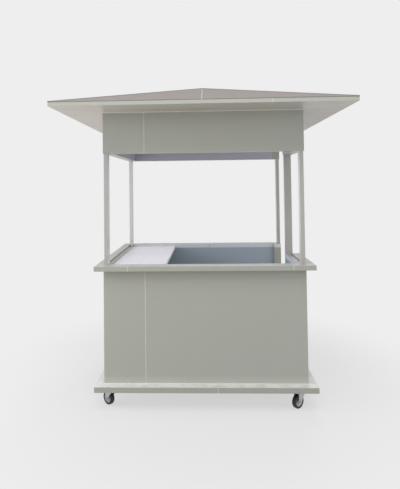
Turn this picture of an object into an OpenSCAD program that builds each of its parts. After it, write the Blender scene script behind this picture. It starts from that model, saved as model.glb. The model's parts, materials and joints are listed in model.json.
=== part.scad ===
// Mobile kiosk booth on four swivel casters: a steel tube frame clad in composite
// sheet, with open windows over a ledge on all sides, a side doorway and a
// pyramid roof. Millimetres. The origin is on the floor under the middle of the
// roof; the front faces -Y, +X is to the right and +Z is up.

/* [Body] */
// Width over the wall cladding, left to right
body_w = 1500; // [1300:10:2000]
// Depth over the wall cladding, front to back
body_d = 1200; // [1100:10:1800]
// Thickness of a cladding sheet with its bonding tape
sheet_t = 5; // [4:1:8]
// Narrow side of the frame tube
tube_a = 30; // [25:1:40]
// Broad side of the frame tube
tube_b = 60; // [50:1:70]

/* [Base] */
// Height of the plinth band and of the base rails
plinth_h = 40; // [35:1:60]
// How far the plinth stands out from the walls
plinth_out = 62; // [40:1:90]
// Broad side of the base rails
rail_w = 60; // [55:1:80]
// Number of cross rails under the floor
cross_rails = 2; // [1:1:4]
// Thickness of the floor deck
floor_t = 15; // [10:1:25]

/* [Ledge] */
// Height of the ledge top above the ground
ledge_top = 1045; // [900:5:1150]
// Thickness of the ledge
ledge_t = 35; // [25:1:45]
// How far the ledge stands out from the walls
ledge_out = 60; // [40:1:90]
// Depth of the tracks in the tops of the side ledges
track_d = 13; // [5:1:20]

/* [Worktop] */
// Depth of the worktop, out from the left wall
worktop_w = 415; // [350:5:600]
// Thickness of the worktop
worktop_t = 25; // [15:1:30]
// Step down from the ledge top to the worktop
worktop_drop = 18; // [10:1:60]

/* [Header] */
// Height of the window heads above the ground
header_bottom = 1880; // [1800:5:2000]
// Height of the header band
header_h = 310; // [250:5:400]
// Height of the door head above the window heads
door_rise = 180; // [100:5:200]

/* [Doorway] */
// Distance from the front wall to the front face of the door post
door_post_y = 500; // [400:10:550]

/* [Roof] */
// Overhang of the roof past the walls
eave_out = 310; // [200:5:400]
// Height of the fascia, with the edge of the roof sheet
fascia_h = 32; // [25:1:60]
// Rise of the roof from the fascia to the peak
roof_rise = 262; // [150:5:400]

/* [Casters] */
// Height from the ground to the underside of the base
caster_h = 135; // [130:1:165]
// Radius of a wheel
wheel_r = 50; // [41:1:54]
// Width of a tyre
wheel_w = 32; // [28:1:36]
// Distance from the swivel axis back to the axle
trail = 38; // [32:1:42]
// Swivel axis in from the side of the body
caster_in_x = 50; // [48:1:120]
// Swivel axis in from the front or back of the body
caster_in_y = 35; // [35:1:40]
// Direction that the front left wheel trails in
turn_front_left = 140; // [0:5:355]
// Direction that the front right wheel trails in
turn_front_right = 220; // [0:5:355]
// Direction that the rear left wheel trails in
turn_rear_left = 160; // [0:5:355]
// Direction that the rear right wheel trails in
turn_rear_right = 200; // [0:5:355]

/* [Hidden] */
$fn = 64;

// Half sizes of the body, its frame and what stands out from it
half_x = body_w / 2;
half_y = body_d / 2;
frame_x = half_x - sheet_t;
frame_y = half_y - sheet_t;
plinth_x = half_x + plinth_out;
plinth_y = half_y + plinth_out;
ledge_x = half_x + ledge_out;
ledge_y = half_y + ledge_out;
eave_x = half_x + eave_out;
eave_y = half_y + eave_out;

// Heights
base_z = caster_h;
wall_z = base_z + plinth_h;
floor_top = wall_z + floor_t;
ledge_z = ledge_top - ledge_t;
header_top = header_bottom + header_h;
door_head = header_bottom + door_rise;
roof_z = header_top + fascia_h;
peak_z = roof_z + roof_rise;

// Inner faces of the walls: the side with the doorway is as deep as the tube is broad
wall_t = tube_a + 2 * sheet_t;
in_left = -half_x + wall_t;
in_right = frame_x - tube_b;
in_y = half_y - wall_t;

// Inner faces of the header, a box as deep as the tube is broad
header_t = tube_b + 2 * sheet_t;
head_x = half_x - header_t;
head_y = half_y - header_t;

// Faces of the door post and of the jamb across the doorway
post_front = -half_y + door_post_y;
post_rear = post_front + tube_a;
jamb_y = frame_y - tube_b - sheet_t;

// Edges of the corner posts
post_x = frame_x - tube_a;
post_y = frame_y - tube_b;
tube_wall = 2;
post_gap = 1;

// The roof sheet's edge is the top of the fascia
roof_t = 6;

// Caster sizes: plate, bearing, fork and axle
plate_size = [95, 65, 5];
bearing_r = 24;
bearing_gap = 1;
crown_t = 4;
crown_gap = 8;
leg_t = 4;
leg_slope = 2;
tyre_gap = 5;
hub_r = 14;
hub_gap = 1;
pin_r = 6;
axle_r = 5;
axle_end = 3;
running_gap = 0.05;
nut_r = 10;
nut_t = 6;
tyre_bevel = 4;
crown_z = 2 * wheel_r + crown_gap;
leg_in = wheel_w / 2 + tyre_gap;
leg_out = leg_in + leg_t;
race_z = (crown_z + crown_t + base_z - plate_size[2]) / 2;
swivel_x = half_x - caster_in_x;
swivel_y = half_y - caster_in_y;

// Colours
panel_colour = [0.64, 0.65, 0.60];
fascia_colour = [0.71, 0.72, 0.67];
soffit_colour = [0.80, 0.78, 0.76];
roof_colour = [0.66, 0.64, 0.63];
post_colour = [0.66, 0.66, 0.64];
slate_colour = [0.42, 0.46, 0.50];
white_colour = [0.86, 0.86, 0.89];
floor_colour = [0.45, 0.46, 0.46];
steel_colour = [0.38, 0.39, 0.40];
zinc_colour = [0.72, 0.73, 0.75];
rubber_colour = [0.08, 0.08, 0.10];

// A block from its low to its high X, Y and Z
module block(x, y, z)
    translate([x[0], y[0], z[0]])
        cube([x[1] - x[0], y[1] - y[0], z[1] - z[0]]);

// A hollow tube that stands on end
module upright(x, y, z)
    difference() {
        block(x, y, z);
        block([x[0] + tube_wall, x[1] - tube_wall],
              [y[0] + tube_wall, y[1] - tube_wall],
              [z[0] - 1, z[1] + 1]);
    }

// A corner post with no hollow, grown by a gap, for cutting what fits round it
module post_cutter(side_x, side_y)
    scale([side_x, side_y, 1])
        block([post_x - post_gap, frame_x + post_gap],
              [post_y - post_gap, frame_y + post_gap],
              [wall_z, header_top]);

// The front stretch of a mitred band round the body
module front_stretch(x, y, depth, z0, z1)
    translate([0, 0, z0])
        linear_extrude(height = z1 - z0)
            polygon([[-x, -y], [x, -y], [x - depth, -y + depth], [-x + depth, -y + depth]]);

// The right stretch of a mitred band round the body
module right_stretch(x, y, depth, z0, z1)
    translate([0, 0, z0])
        linear_extrude(height = z1 - z0)
            polygon([[x, -y], [x, y], [x - depth, y - depth], [x - depth, -y + depth]]);

// Base

// Front and rear rails of the base, which carry the casters
module base_rails()
    color(steel_colour)
        for (side = [-1, 1])
            scale([1, side, 1])
                difference() {
                    block([-frame_x, frame_x], [frame_y - rail_w, frame_y], [base_z, wall_z]);
                    block([-frame_x - 1, frame_x + 1],
                          [frame_y - rail_w + tube_wall, frame_y - tube_wall],
                          [base_z + tube_wall, wall_z - tube_wall]);
                }

// Side rails and the rails between them, which run front to back
module cross_rails()
    color(steel_colour)
        let (step = 2 * (frame_x - rail_w / 2) / (cross_rails + 1), end = frame_y - rail_w)
            for (i = [0:cross_rails + 1])
                translate([-frame_x + rail_w / 2 + i * step, 0, 0])
                    difference() {
                        block([-rail_w / 2, rail_w / 2], [-end, end], [base_z, wall_z]);
                        block([-rail_w / 2 + tube_wall, rail_w / 2 - tube_wall],
                              [-end - 1, end + 1],
                              [base_z + tube_wall, wall_z - tube_wall]);
                    }

// Floor between the linings, with a tongue out through the doorway
module floor_deck()
    color(floor_colour) {
        block([in_left, in_right], [-in_y, in_y], [wall_z, floor_top]);
        block([in_right, half_x], [post_rear, jamb_y], [wall_z, floor_top]);
    }

// Folded plinth tray all round the base, open towards the rails
module plinth_ring()
    difference() {
        block([-plinth_x, plinth_x], [-plinth_y, plinth_y], [base_z, wall_z]);
        block([-frame_x, frame_x], [-frame_y, frame_y], [base_z - 1, wall_z + 1]);
        block([-plinth_x + sheet_t, plinth_x - sheet_t],
              [-plinth_y + sheet_t, plinth_y - sheet_t],
              [base_z + sheet_t, wall_z - sheet_t]);
    }

module plinth_front()
    color(panel_colour)
        intersection() {
            plinth_ring();
            front_stretch(plinth_x, plinth_y, plinth_out + sheet_t, base_z, wall_z);
        }

module plinth_rear()
    mirror([0, 1, 0]) plinth_front();

module plinth_right()
    color(panel_colour)
        intersection() {
            plinth_ring();
            right_stretch(plinth_x, plinth_y, plinth_out + sheet_t, base_z, wall_z);
        }

module plinth_left()
    mirror([1, 0, 0]) plinth_right();

// Frame uprights

// Corner posts, from the base rails to the ceiling
module corner_posts()
    color(post_colour)
        for (side_x = [-1, 1], side_y = [-1, 1])
            scale([side_x, side_y, 1])
                upright([post_x, frame_x], [post_y, frame_y], [wall_z, header_top]);

// Post between the right window and the doorway
module door_post()
    color(post_colour)
        upright([in_right, frame_x], [post_front, post_rear], [wall_z, header_top]);

// Folded cladding round the rear right post, under the ledge
module door_jamb()
    color(panel_colour)
        difference() {
            block([in_right, half_x], [jamb_y, frame_y], [wall_z, ledge_z]);
            block([in_right + sheet_t, frame_x], [jamb_y + sheet_t, frame_y + 1],
                  [wall_z - 1, ledge_z + 1]);
            block([in_right - 1, in_right + sheet_t + 1], [in_y, frame_y + 1],
                  [wall_z - 1, ledge_z + 1]);
        }

// Walls under the ledge

module wall_front()
    color(panel_colour)
        block([-half_x, half_x], [-half_y, -frame_y], [wall_z, ledge_z]);

module wall_rear()
    mirror([0, 1, 0]) wall_front();

module wall_left()
    color(panel_colour)
        block([-half_x, -frame_x], [-frame_y, frame_y], [wall_z, ledge_z]);

module wall_right()
    color(panel_colour)
        block([frame_x, half_x], [-frame_y, post_rear], [wall_z, ledge_z]);

// Inner linings of the walls

module lining_front()
    color(slate_colour)
        block([-post_x, post_x], [-in_y - sheet_t, -in_y], [wall_z, ledge_z]);

module lining_rear()
    mirror([0, 1, 0]) lining_front();

module lining_left()
    color(slate_colour)
        block([-post_x, in_left], [-in_y, in_y], [wall_z, ledge_z]);

module lining_right()
    color(slate_colour)
        block([in_right, in_right + sheet_t], [-in_y, post_front], [wall_z, ledge_z]);

// Ledge and worktop

// Tracks in the tops of the side ledges, as wide as the posts they run between
module tracks()
    let (z = [ledge_top - track_d, ledge_top + 1]) {
        block([-frame_x, -post_x], [-post_y, post_y], z);
        block([post_x, frame_x], [-post_y, post_front], z);
    }

// A stretch of ledge with the given outline, cut for the tracks and round the posts
module ledge_stretch(outline)
    color(panel_colour)
        difference() {
            translate([0, 0, ledge_z])
                linear_extrude(height = ledge_t)
                    polygon(outline);
            tracks();
            for (side_x = [-1, 1], side_y = [-1, 1])
                post_cutter(side_x, side_y);
            block([in_right - 1, frame_x + post_gap],
                  [post_front - post_gap, post_rear + post_gap],
                  [wall_z, header_top]);
        }

module ledge_front()
    ledge_stretch([[-ledge_x, -ledge_y], [ledge_x, -ledge_y], [in_right, -in_y], [in_left, -in_y]]);

module ledge_left()
    ledge_stretch([[-ledge_x, -ledge_y], [in_left, -in_y], [in_left, in_y], [-ledge_x, ledge_y]]);

module ledge_right()
    ledge_stretch([[ledge_x, -ledge_y], [ledge_x, post_rear], [in_right, post_rear], [in_right, -in_y]]);

module ledge_rear()
    ledge_stretch([[-ledge_x, ledge_y], [in_left, in_y], [in_right, in_y],
                   [in_right, jamb_y], [half_x, jamb_y], [half_x, ledge_y]]);

// Board across the left side of the booth, fixed to three linings
module worktop()
    let (top = ledge_top - worktop_drop)
        color(white_colour)
            block([in_left, in_left + worktop_w], [-in_y, in_y], [top - worktop_t, top]);

// Header band

// Outer sheet of the front header with the fold under it, between the posts
module header_front()
    color(panel_colour) {
        block([-half_x, half_x], [-half_y, -frame_y], [header_bottom, header_top]);
        block([-post_x, post_x], [-frame_y, -head_y], [header_bottom, header_bottom + sheet_t]);
    }

module header_rear()
    mirror([0, 1, 0]) header_front();

module header_left()
    color(panel_colour) {
        block([-half_x, -frame_x], [-frame_y, frame_y], [header_bottom, header_top]);
        block([-frame_x, -head_x], [-head_y, head_y], [header_bottom, header_bottom + sheet_t]);
    }

// Header over the right window, as far as the door post
module header_right()
    color(panel_colour) {
        block([frame_x, half_x], [-frame_y, post_rear], [header_bottom, header_top]);
        block([head_x, frame_x], [-head_y, post_front], [header_bottom, header_bottom + sheet_t]);
    }

// Header over the doorway, which is taller than the windows
module header_door()
    color(panel_colour) {
        block([frame_x, half_x], [post_rear, jamb_y], [door_head, header_top]);
        block([head_x, frame_x], [post_rear, jamb_y], [door_head, door_head + sheet_t]);
    }

// End of the header beside the doorway, round the rear right post
module header_corner()
    color(panel_colour) {
        block([frame_x, half_x], [jamb_y, frame_y], [header_bottom, header_top]);
        block([head_x, frame_x], [jamb_y, jamb_y + sheet_t],
              [header_bottom + sheet_t, header_top]);
    }

// Inner linings of the front and rear headers
module header_linings()
    color(slate_colour)
        for (side = [-1, 1])
            scale([1, side, 1])
                block([-head_x, head_x], [head_y, head_y + sheet_t],
                      [header_bottom + sheet_t, header_top]);

// Inner linings of the left header, of the right header and of the door head
module header_side_linings()
    color(slate_colour) {
        block([-head_x - sheet_t, -head_x], [-head_y, head_y],
              [header_bottom + sheet_t, header_top]);
        block([head_x, head_x + sheet_t], [-head_y, post_rear],
              [header_bottom + sheet_t, header_top]);
        block([head_x, head_x + sheet_t], [post_rear, jamb_y],
              [door_head + sheet_t, header_top]);
    }

// Roof

module ceiling()
    color(soffit_colour)
        block([-frame_x, frame_x], [-frame_y, frame_y], [header_top, header_top + sheet_t]);

// Folded eave tray all round: a flat soffit with the fascia at its edge
module eave_ring()
    difference() {
        block([-eave_x, eave_x], [-eave_y, eave_y], [header_top, roof_z - roof_t]);
        block([-frame_x, frame_x], [-frame_y, frame_y], [header_top - 1, roof_z]);
        block([-eave_x + sheet_t, eave_x - sheet_t],
              [-eave_y + sheet_t, eave_y - sheet_t],
              [header_top + sheet_t, roof_z]);
    }

module eave_front()
    color(fascia_colour)
        intersection() {
            eave_ring();
            front_stretch(eave_x, eave_y, eave_out + sheet_t, header_top, roof_z);
        }

module eave_rear()
    mirror([0, 1, 0]) eave_front();

module eave_right()
    color(fascia_colour)
        intersection() {
            eave_ring();
            right_stretch(eave_x, eave_y, eave_out + sheet_t, header_top, roof_z);
        }

module eave_left()
    mirror([1, 0, 0]) eave_right();

// A roof sheet from two eave corners up to the peak
module roof_sheet(a, b)
    color(roof_colour)
        polyhedron(
            points = [
                for (drop = [roof_t, 0])
                    each [[a[0], a[1], roof_z - drop], [b[0], b[1], roof_z - drop],
                          [0, 0, peak_z - drop]]
            ],
            faces = [[0, 1, 2], [3, 5, 4], [0, 3, 4, 1], [1, 4, 5, 2], [2, 5, 3, 0]]);

module roof_front() roof_sheet([-eave_x, -eave_y], [eave_x, -eave_y]);

module roof_rear() roof_sheet([eave_x, eave_y], [-eave_x, eave_y]);

module roof_left() roof_sheet([-eave_x, eave_y], [-eave_x, -eave_y]);

module roof_right() roof_sheet([eave_x, -eave_y], [eave_x, eave_y]);

// Casters

// Top plate of a caster with its bearing and king pin
module caster_plate()
    let (plate_z = base_z - plate_size[2]) {
        translate([-plate_size[0] / 2, -plate_size[1] / 2, plate_z])
            cube(plate_size);
        translate([0, 0, race_z + bearing_gap / 2])
            cylinder(r = bearing_r, h = plate_z - race_z - bearing_gap / 2);
        translate([0, 0, crown_z - bearing_gap - nut_t])
            cylinder(r = pin_r, h = plate_z - crown_z + bearing_gap + nut_t);
        translate([0, 0, crown_z - bearing_gap - nut_t])
            cylinder(r = nut_r, h = nut_t, $fn = 6);
    }

module caster_plates()
    color(zinc_colour)
        for (x = [-swivel_x, swivel_x], y = [-swivel_y, swivel_y])
            translate([x, y, 0])
                caster_plate();

// One leg of a fork, flat in the XZ plane
module fork_leg()
    rotate([90, 0, 0])
        linear_extrude(height = leg_t) {
            polygon([[-bearing_r, crown_z + crown_t], [trail + hub_r - leg_slope, crown_z + crown_t],
                     [trail + hub_r, wheel_r], [trail - hub_r, wheel_r]]);
            translate([trail, wheel_r])
                circle(r = hub_r);
        }

// Swivelling fork with its bearing race and axle, trailing towards +X
module fork() {
    difference() {
        translate([0, 0, crown_z]) {
            translate([-bearing_r, -leg_out, 0])
                cube([bearing_r + trail + hub_r - leg_slope, 2 * leg_out, crown_t]);
            cylinder(r = leg_out, h = crown_t);
            cylinder(r = bearing_r, h = race_z - bearing_gap / 2 - crown_z);
        }
        translate([0, 0, crown_z - 1])
            cylinder(r = pin_r + running_gap, h = base_z - crown_z);
    }
    for (y = [-leg_in, leg_out])
        translate([0, y, 0])
            fork_leg();
    translate([trail, 0, wheel_r])
        rotate([90, 0, 0])
            cylinder(r = axle_r, h = 2 * (leg_out + axle_end), center = true);
}

// Wheel: a bevelled tyre on a hub that turns on the axle
module wheel()
    translate([trail, 0, wheel_r])
        rotate([90, 0, 0])
            rotate_extrude()
                polygon([
                    [axle_r + running_gap, -leg_in + hub_gap], [hub_r, -leg_in + hub_gap],
                    [hub_r, -wheel_w / 2], [wheel_r - tyre_bevel, -wheel_w / 2],
                    [wheel_r, -wheel_w / 2 + tyre_bevel], [wheel_r, wheel_w / 2 - tyre_bevel],
                    [wheel_r - tyre_bevel, wheel_w / 2], [hub_r, wheel_w / 2],
                    [hub_r, leg_in - hub_gap], [axle_r + running_gap, leg_in - hub_gap]
                ]);

// A caster piece set at its corner and turned the way it trails
module at_corner(side_x, side_y, turn)
    translate([side_x * swivel_x, side_y * swivel_y, 0])
        rotate([0, 0, turn])
            children();

module fork_front_left() color(zinc_colour) at_corner(-1, -1, turn_front_left) fork();

module fork_front_right() color(zinc_colour) at_corner(1, -1, turn_front_right) fork();

module fork_rear_left() color(zinc_colour) at_corner(-1, 1, turn_rear_left) fork();

module fork_rear_right() color(zinc_colour) at_corner(1, 1, turn_rear_right) fork();

module wheel_front_left() color(rubber_colour) at_corner(-1, -1, turn_front_left) wheel();

module wheel_front_right() color(rubber_colour) at_corner(1, -1, turn_front_right) wheel();

module wheel_rear_left() color(rubber_colour) at_corner(-1, 1, turn_rear_left) wheel();

module wheel_rear_right() color(rubber_colour) at_corner(1, 1, turn_rear_right) wheel();

base_rails();
cross_rails();
floor_deck();
plinth_front();
plinth_rear();
plinth_left();
plinth_right();
corner_posts();
door_post();
door_jamb();
wall_front();
wall_rear();
wall_left();
wall_right();
lining_front();
lining_rear();
lining_left();
lining_right();
ledge_front();
ledge_rear();
ledge_left();
ledge_right();
worktop();
header_front();
header_rear();
header_left();
header_right();
header_door();
header_corner();
header_linings();
header_side_linings();
ceiling();
eave_front();
eave_rear();
eave_left();
eave_right();
roof_front();
roof_rear();
roof_left();
roof_right();
caster_plates();
fork_front_left();
fork_front_right();
fork_rear_left();
fork_rear_right();
wheel_front_left();
wheel_front_right();
wheel_rear_left();
wheel_rear_right();
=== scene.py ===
"""Looks of a mobile kiosk booth on four swivel casters.

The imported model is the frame, and every piece stands where its nodes and joints are: in
metres, the origin on the floor under the middle of the roof, the front facing -Y, +X to the
right and +Z up. Composite sheets are rounded at their edges, split at their joints and
sealed. Each caster is a pressed fork over a rubber tyre on a plated rim.
"""

import json
import logging
import math
from collections.abc import Iterable, Sequence
from dataclasses import dataclass, field
from enum import Enum

import bmesh
import bpy
from mathutils import Matrix, Vector


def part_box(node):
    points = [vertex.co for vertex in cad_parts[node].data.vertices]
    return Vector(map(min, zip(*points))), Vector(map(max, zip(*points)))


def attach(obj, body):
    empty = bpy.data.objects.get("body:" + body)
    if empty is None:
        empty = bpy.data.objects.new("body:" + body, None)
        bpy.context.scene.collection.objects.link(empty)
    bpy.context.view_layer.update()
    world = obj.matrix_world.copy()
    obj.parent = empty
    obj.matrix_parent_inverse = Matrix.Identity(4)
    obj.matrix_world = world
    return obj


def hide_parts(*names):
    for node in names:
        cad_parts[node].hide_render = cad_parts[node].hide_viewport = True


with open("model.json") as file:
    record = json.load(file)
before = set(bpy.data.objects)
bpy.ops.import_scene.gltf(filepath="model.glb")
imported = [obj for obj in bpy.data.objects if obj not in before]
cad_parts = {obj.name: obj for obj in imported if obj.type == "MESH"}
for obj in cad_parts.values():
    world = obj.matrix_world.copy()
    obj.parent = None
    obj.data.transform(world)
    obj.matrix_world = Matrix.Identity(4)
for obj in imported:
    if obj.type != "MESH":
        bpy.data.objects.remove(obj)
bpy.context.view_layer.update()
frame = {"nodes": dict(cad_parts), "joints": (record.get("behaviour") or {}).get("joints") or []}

LOG = logging.getLogger("booth")
MM = 0.001
UP = Vector((0, 0, 1))
# Edges over SHARP are rounded, those over CREASE stay hard in shading, those under FLAT are dropped.
SHARP = math.radians(30)
CREASE = math.radians(50)
FLAT = math.radians(0.5)
# A face looks along an axis if its normal has more than this on it.
SQUARE_ON = 0.99
# Dust and painted sky light lie where the normal points up by more than the first, and fully from the
# second.
SETTLE_FROM, SETTLE_FULL = 0.8, 0.99
# Points within MERGE of each other are one, and points within ON_PLANE of a cut lie on it.
MERGE = 0.01 * MM
ON_PLANE = 0.001 * MM
# Flats round a bolt's head or a nut.
HEX = 6
# Signs of X and Y in each quarter of the booth or of a plate.
QUARTERS = ((-1, -1), (-1, 1), (1, -1), (1, 1))

Shape = bmesh.types.BMesh
Socket = bpy.types.NodeSocket
Pair = tuple[float, float]
Triple = tuple[float, float, float]
Colour = tuple[float, float, float, float]
Outline = Sequence[Pair]


def shade(red: int, green: int, blue: int) -> Colour:
    """Work out a linear colour from display levels.

    Args:
        red: Display level of red, 0 to 255.
        green: Display level of green, 0 to 255.
        blue: Display level of blue, 0 to 255.

    Returns:
        The linear colour with full cover.
    """
    def linear(level: int) -> float:
        """Undo the display curve for one level."""
        value = level / 255
        return value / 12.92 if value <= 0.04045 else ((value + 0.055) / 1.055) ** 2.4

    return (linear(red), linear(green), linear(blue), 1.0)


# Finishes


@dataclass(frozen=True)
class Mottle:
    """A noise pattern of a finish.

    scale is the number of blobs in a metre, detail the number of finer layers, and stretch
    the factors on the scale along X, Y and Z. The noise counts as none at low, and as full
    at high.
    """

    scale: float
    detail: float = 2.0
    low: float = 0.3
    high: float = 0.7
    stretch: Triple = (1.0, 1.0, 1.0)


class Recipe:
    """Node tree of one material, with patterns that read Object coordinates."""

    def __init__(self, name: str) -> None:
        """Start a material.

        Args:
            name: Name of the material.
        """
        self.material = bpy.data.materials.new(name)
        self.material.use_nodes = True
        self.tree = self.material.node_tree
        self.shader = self.tree.nodes["Principled BSDF"]
        self.place = self.tree.nodes.new("ShaderNodeTexCoord").outputs["Object"]

    def node(self, kind: str, **settings: object) -> bpy.types.Node:
        """Add a node.

        Args:
            kind: Blender's name for the sort of node.
            settings: Properties to set on it.

        Returns:
            The new node.
        """
        made = self.tree.nodes.new(kind)
        for name, value in settings.items():
            setattr(made, name, value)
        return made

    def put(self, value: object, socket: Socket) -> None:
        """Link an output to a socket, or set a plain value on it.

        Args:
            value: An output socket, or a number or colour.
            socket: The input that takes it.
        """
        if isinstance(value, Socket):
            self.tree.links.new(value, socket)
        else:
            socket.default_value = value

    def set(self, name: str, value: object) -> None:
        """Put an output socket, a number or a colour on one of the shader's inputs."""
        self.put(value, self.shader.inputs[name])

    def noise(self, mottle: Mottle) -> Socket:
        """Add a noise pattern as it comes.

        Args:
            mottle: The pattern.

        Returns:
            Its values.
        """
        mapping = self.node("ShaderNodeMapping")
        self.put(self.place, mapping.inputs["Vector"])
        mapping.inputs["Scale"].default_value = mottle.stretch
        pattern = self.node("ShaderNodeTexNoise")
        self.put(mapping.outputs["Vector"], pattern.inputs["Vector"])
        pattern.inputs["Scale"].default_value = mottle.scale
        pattern.inputs["Detail"].default_value = mottle.detail
        return pattern.outputs["Fac"]

    def spread(self, mottle: Mottle, first: float = 0.0, last: float = 1.0) -> Socket:
        """Add a noise pattern, mapped so that its low value gives first and its high value last."""
        return self.span(self.noise(mottle), mottle.low, mottle.high, first, last)

    def cells(self, scale: float) -> Socket:
        """Add a pattern of cells.

        Args:
            scale: Number of cells in a metre.

        Returns:
            The distance to the nearest cell's middle.
        """
        pattern = self.node("ShaderNodeTexVoronoi")
        self.put(self.place, pattern.inputs["Vector"])
        pattern.inputs["Scale"].default_value = scale
        return pattern.outputs["Distance"]

    def height(self, vector: Socket) -> Socket:
        """Give the Z part of a vector.

        Args:
            vector: A place or a direction.

        Returns:
            How high the place is, or how far the direction points up.
        """
        parts = self.node("ShaderNodeSeparateXYZ")
        self.put(vector, parts.inputs["Vector"])
        return parts.outputs["Z"]

    def facing_up(self) -> Socket:
        """Give 1 where the surface lies flat and faces up, and 0 where it is upright."""
        normal = self.node("ShaderNodeNewGeometry").outputs["Normal"]
        return self.span(self.height(normal), SETTLE_FROM, SETTLE_FULL)

    def span(self, value: Socket, low: float, high: float,
             first: float = 0.0, last: float = 1.0) -> Socket:
        """Map a stretch of values to another, and hold its ends.

        Args:
            value: The values to map.
            low: Value that becomes first.
            high: Value that becomes last.
            first: Result at low.
            last: Result at high.

        Returns:
            The mapped values.
        """
        mapped = self.node("ShaderNodeMapRange", interpolation_type="SMOOTHSTEP")
        self.put(value, mapped.inputs["Value"])
        mapped.inputs["From Min"].default_value = low
        mapped.inputs["From Max"].default_value = high
        mapped.inputs["To Min"].default_value = first
        mapped.inputs["To Max"].default_value = last
        return mapped.outputs["Result"]

    def times(self, first: Socket, second: Socket) -> Socket:
        """Multiply two patterns.

        Args:
            first: A pattern.
            second: A pattern.

        Returns:
            The product.
        """
        product = self.node("ShaderNodeMath", operation="MULTIPLY")
        self.put(first, product.inputs[0])
        self.put(second, product.inputs[1])
        return product.outputs["Value"]

    def blend(self, share: Socket, first: object, second: object) -> Socket:
        """Blend two colours.

        Args:
            share: Share of the second colour.
            first: Colour, or a pattern of colours.
            second: Colour, or a pattern of colours.

        Returns:
            The blended colour.
        """
        mixed = self.node("ShaderNodeMix", data_type="RGBA")
        ends = [socket for socket in mixed.inputs if socket.type == "RGBA"]
        self.put(share, mixed.inputs["Factor"])
        self.put(first, ends[0])
        self.put(second, ends[1])
        return next(out for out in mixed.outputs if out.type == "RGBA")

    def bump(self, pattern: Socket, depth: float, under: Socket | None = None) -> Socket:
        """Raise a pattern from the surface.

        Args:
            pattern: How high each place is, 0 to 1.
            depth: Height in metres of a value of 1.
            under: Normal that the pattern is laid over.

        Returns:
            The new normal.
        """
        raised = self.node("ShaderNodeBump")
        self.put(pattern, raised.inputs["Height"])
        raised.inputs["Distance"].default_value = depth
        if under is not None:
            self.put(under, raised.inputs["Normal"])
        return raised.outputs["Normal"]


@dataclass(frozen=True)
class Finish:
    """A finish that pieces share, made into one material on first use."""

    name: str
    colour: Colour
    roughness: float

    def material(self) -> bpy.types.Material:
        """Give the finish's material, and make it if there is none yet.

        Returns:
            The material.
        """
        made = bpy.data.materials.get(self.name)
        if made is None:
            recipe = Recipe(self.name)
            self.paint(recipe)
            made = recipe.material
        return made

    def paint(self, recipe: Recipe) -> None:
        """Fill the material's nodes."""
        raise NotImplementedError

    def tinted(self, factor: float, warmth: float = 0.0) -> Colour:
        """Give the colour times a factor, which warmth raises on red and lowers on blue."""
        red, green, blue, cover = self.colour
        return (red * (factor + warmth), green * factor, blue * (factor - warmth), cover)


@dataclass(frozen=True)
class CoatedSheet(Finish):
    """Coated composite sheet: close tints, a fine peel, a slight bow, and dust with painted light on top
    and low down.
    """

    dim: Pair = (0.985, 0.02)
    bright: Pair = (1.015, -0.012)
    drift: Mottle = Mottle(1.1, 3)
    # Colour of the dust streaks, and of the dust and painted bounce light at the foot.
    dust: Colour = shade(186, 187, 177)
    streaked: float = 0.12
    streaks: Mottle = Mottle(24, 3, 0.58, 0.85, (1, 1, 0.05))
    # Lighter towards the foot: dust, and painted light bounced up from the plinth top.
    film: float = 0.75
    film_foot: float = 175 * MM
    film_top: float = 250 * MM
    film_thin: float = 0.75
    film_patches: Mottle = Mottle(48, 4)
    # Faces that look up get a pale bluish mix of dust and painted sky light.
    settled_dust: Colour = shade(188, 190, 194)
    settled: float = 0.45
    settled_thin: float = 0.6
    settled_patches: Mottle = Mottle(16, 4, 0.3, 0.6)
    smoother: float = 0.03
    rougher: float = 0.05
    rubbed: Mottle = Mottle(7, 4)
    gloss: float = 0.5
    bow: float = 0.6 * MM
    waves: Mottle = Mottle(2.2, 1)
    peel: float = 0.04 * MM
    grain: Mottle = Mottle(420)

    def paint(self, recipe: Recipe) -> None:
        """Fill the material's nodes.

        Args:
            recipe: The node tree to fill.
        """
        coat = recipe.blend(recipe.spread(self.drift), self.tinted(*self.dim), self.tinted(*self.bright))
        coat = recipe.blend(recipe.spread(self.streaks, 0.0, self.streaked), coat, self.dust)
        # Dust and painted bounce light, full at the foot and fading out higher up.
        low = recipe.span(recipe.height(recipe.place), self.film_foot, self.film_top, self.film, 0.0)
        film = recipe.times(low, recipe.spread(self.film_patches, self.film_thin))
        coat = recipe.blend(film, coat, self.dust)
        # Painted sky light mixed with dust on faces that look up.
        patchy = recipe.spread(self.settled_patches, self.settled * self.settled_thin, self.settled)
        coat = recipe.blend(recipe.times(recipe.facing_up(), patchy), coat, self.settled_dust)
        recipe.set("Base Color", coat)
        recipe.set("Roughness", recipe.spread(self.rubbed, self.roughness - self.smoother,
                                              self.roughness + self.rougher))
        recipe.set("Specular IOR Level", self.gloss)
        bowed = recipe.bump(recipe.noise(self.waves), self.bow)
        recipe.set("Normal", recipe.bump(recipe.noise(self.grain), self.peel, bowed))


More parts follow.
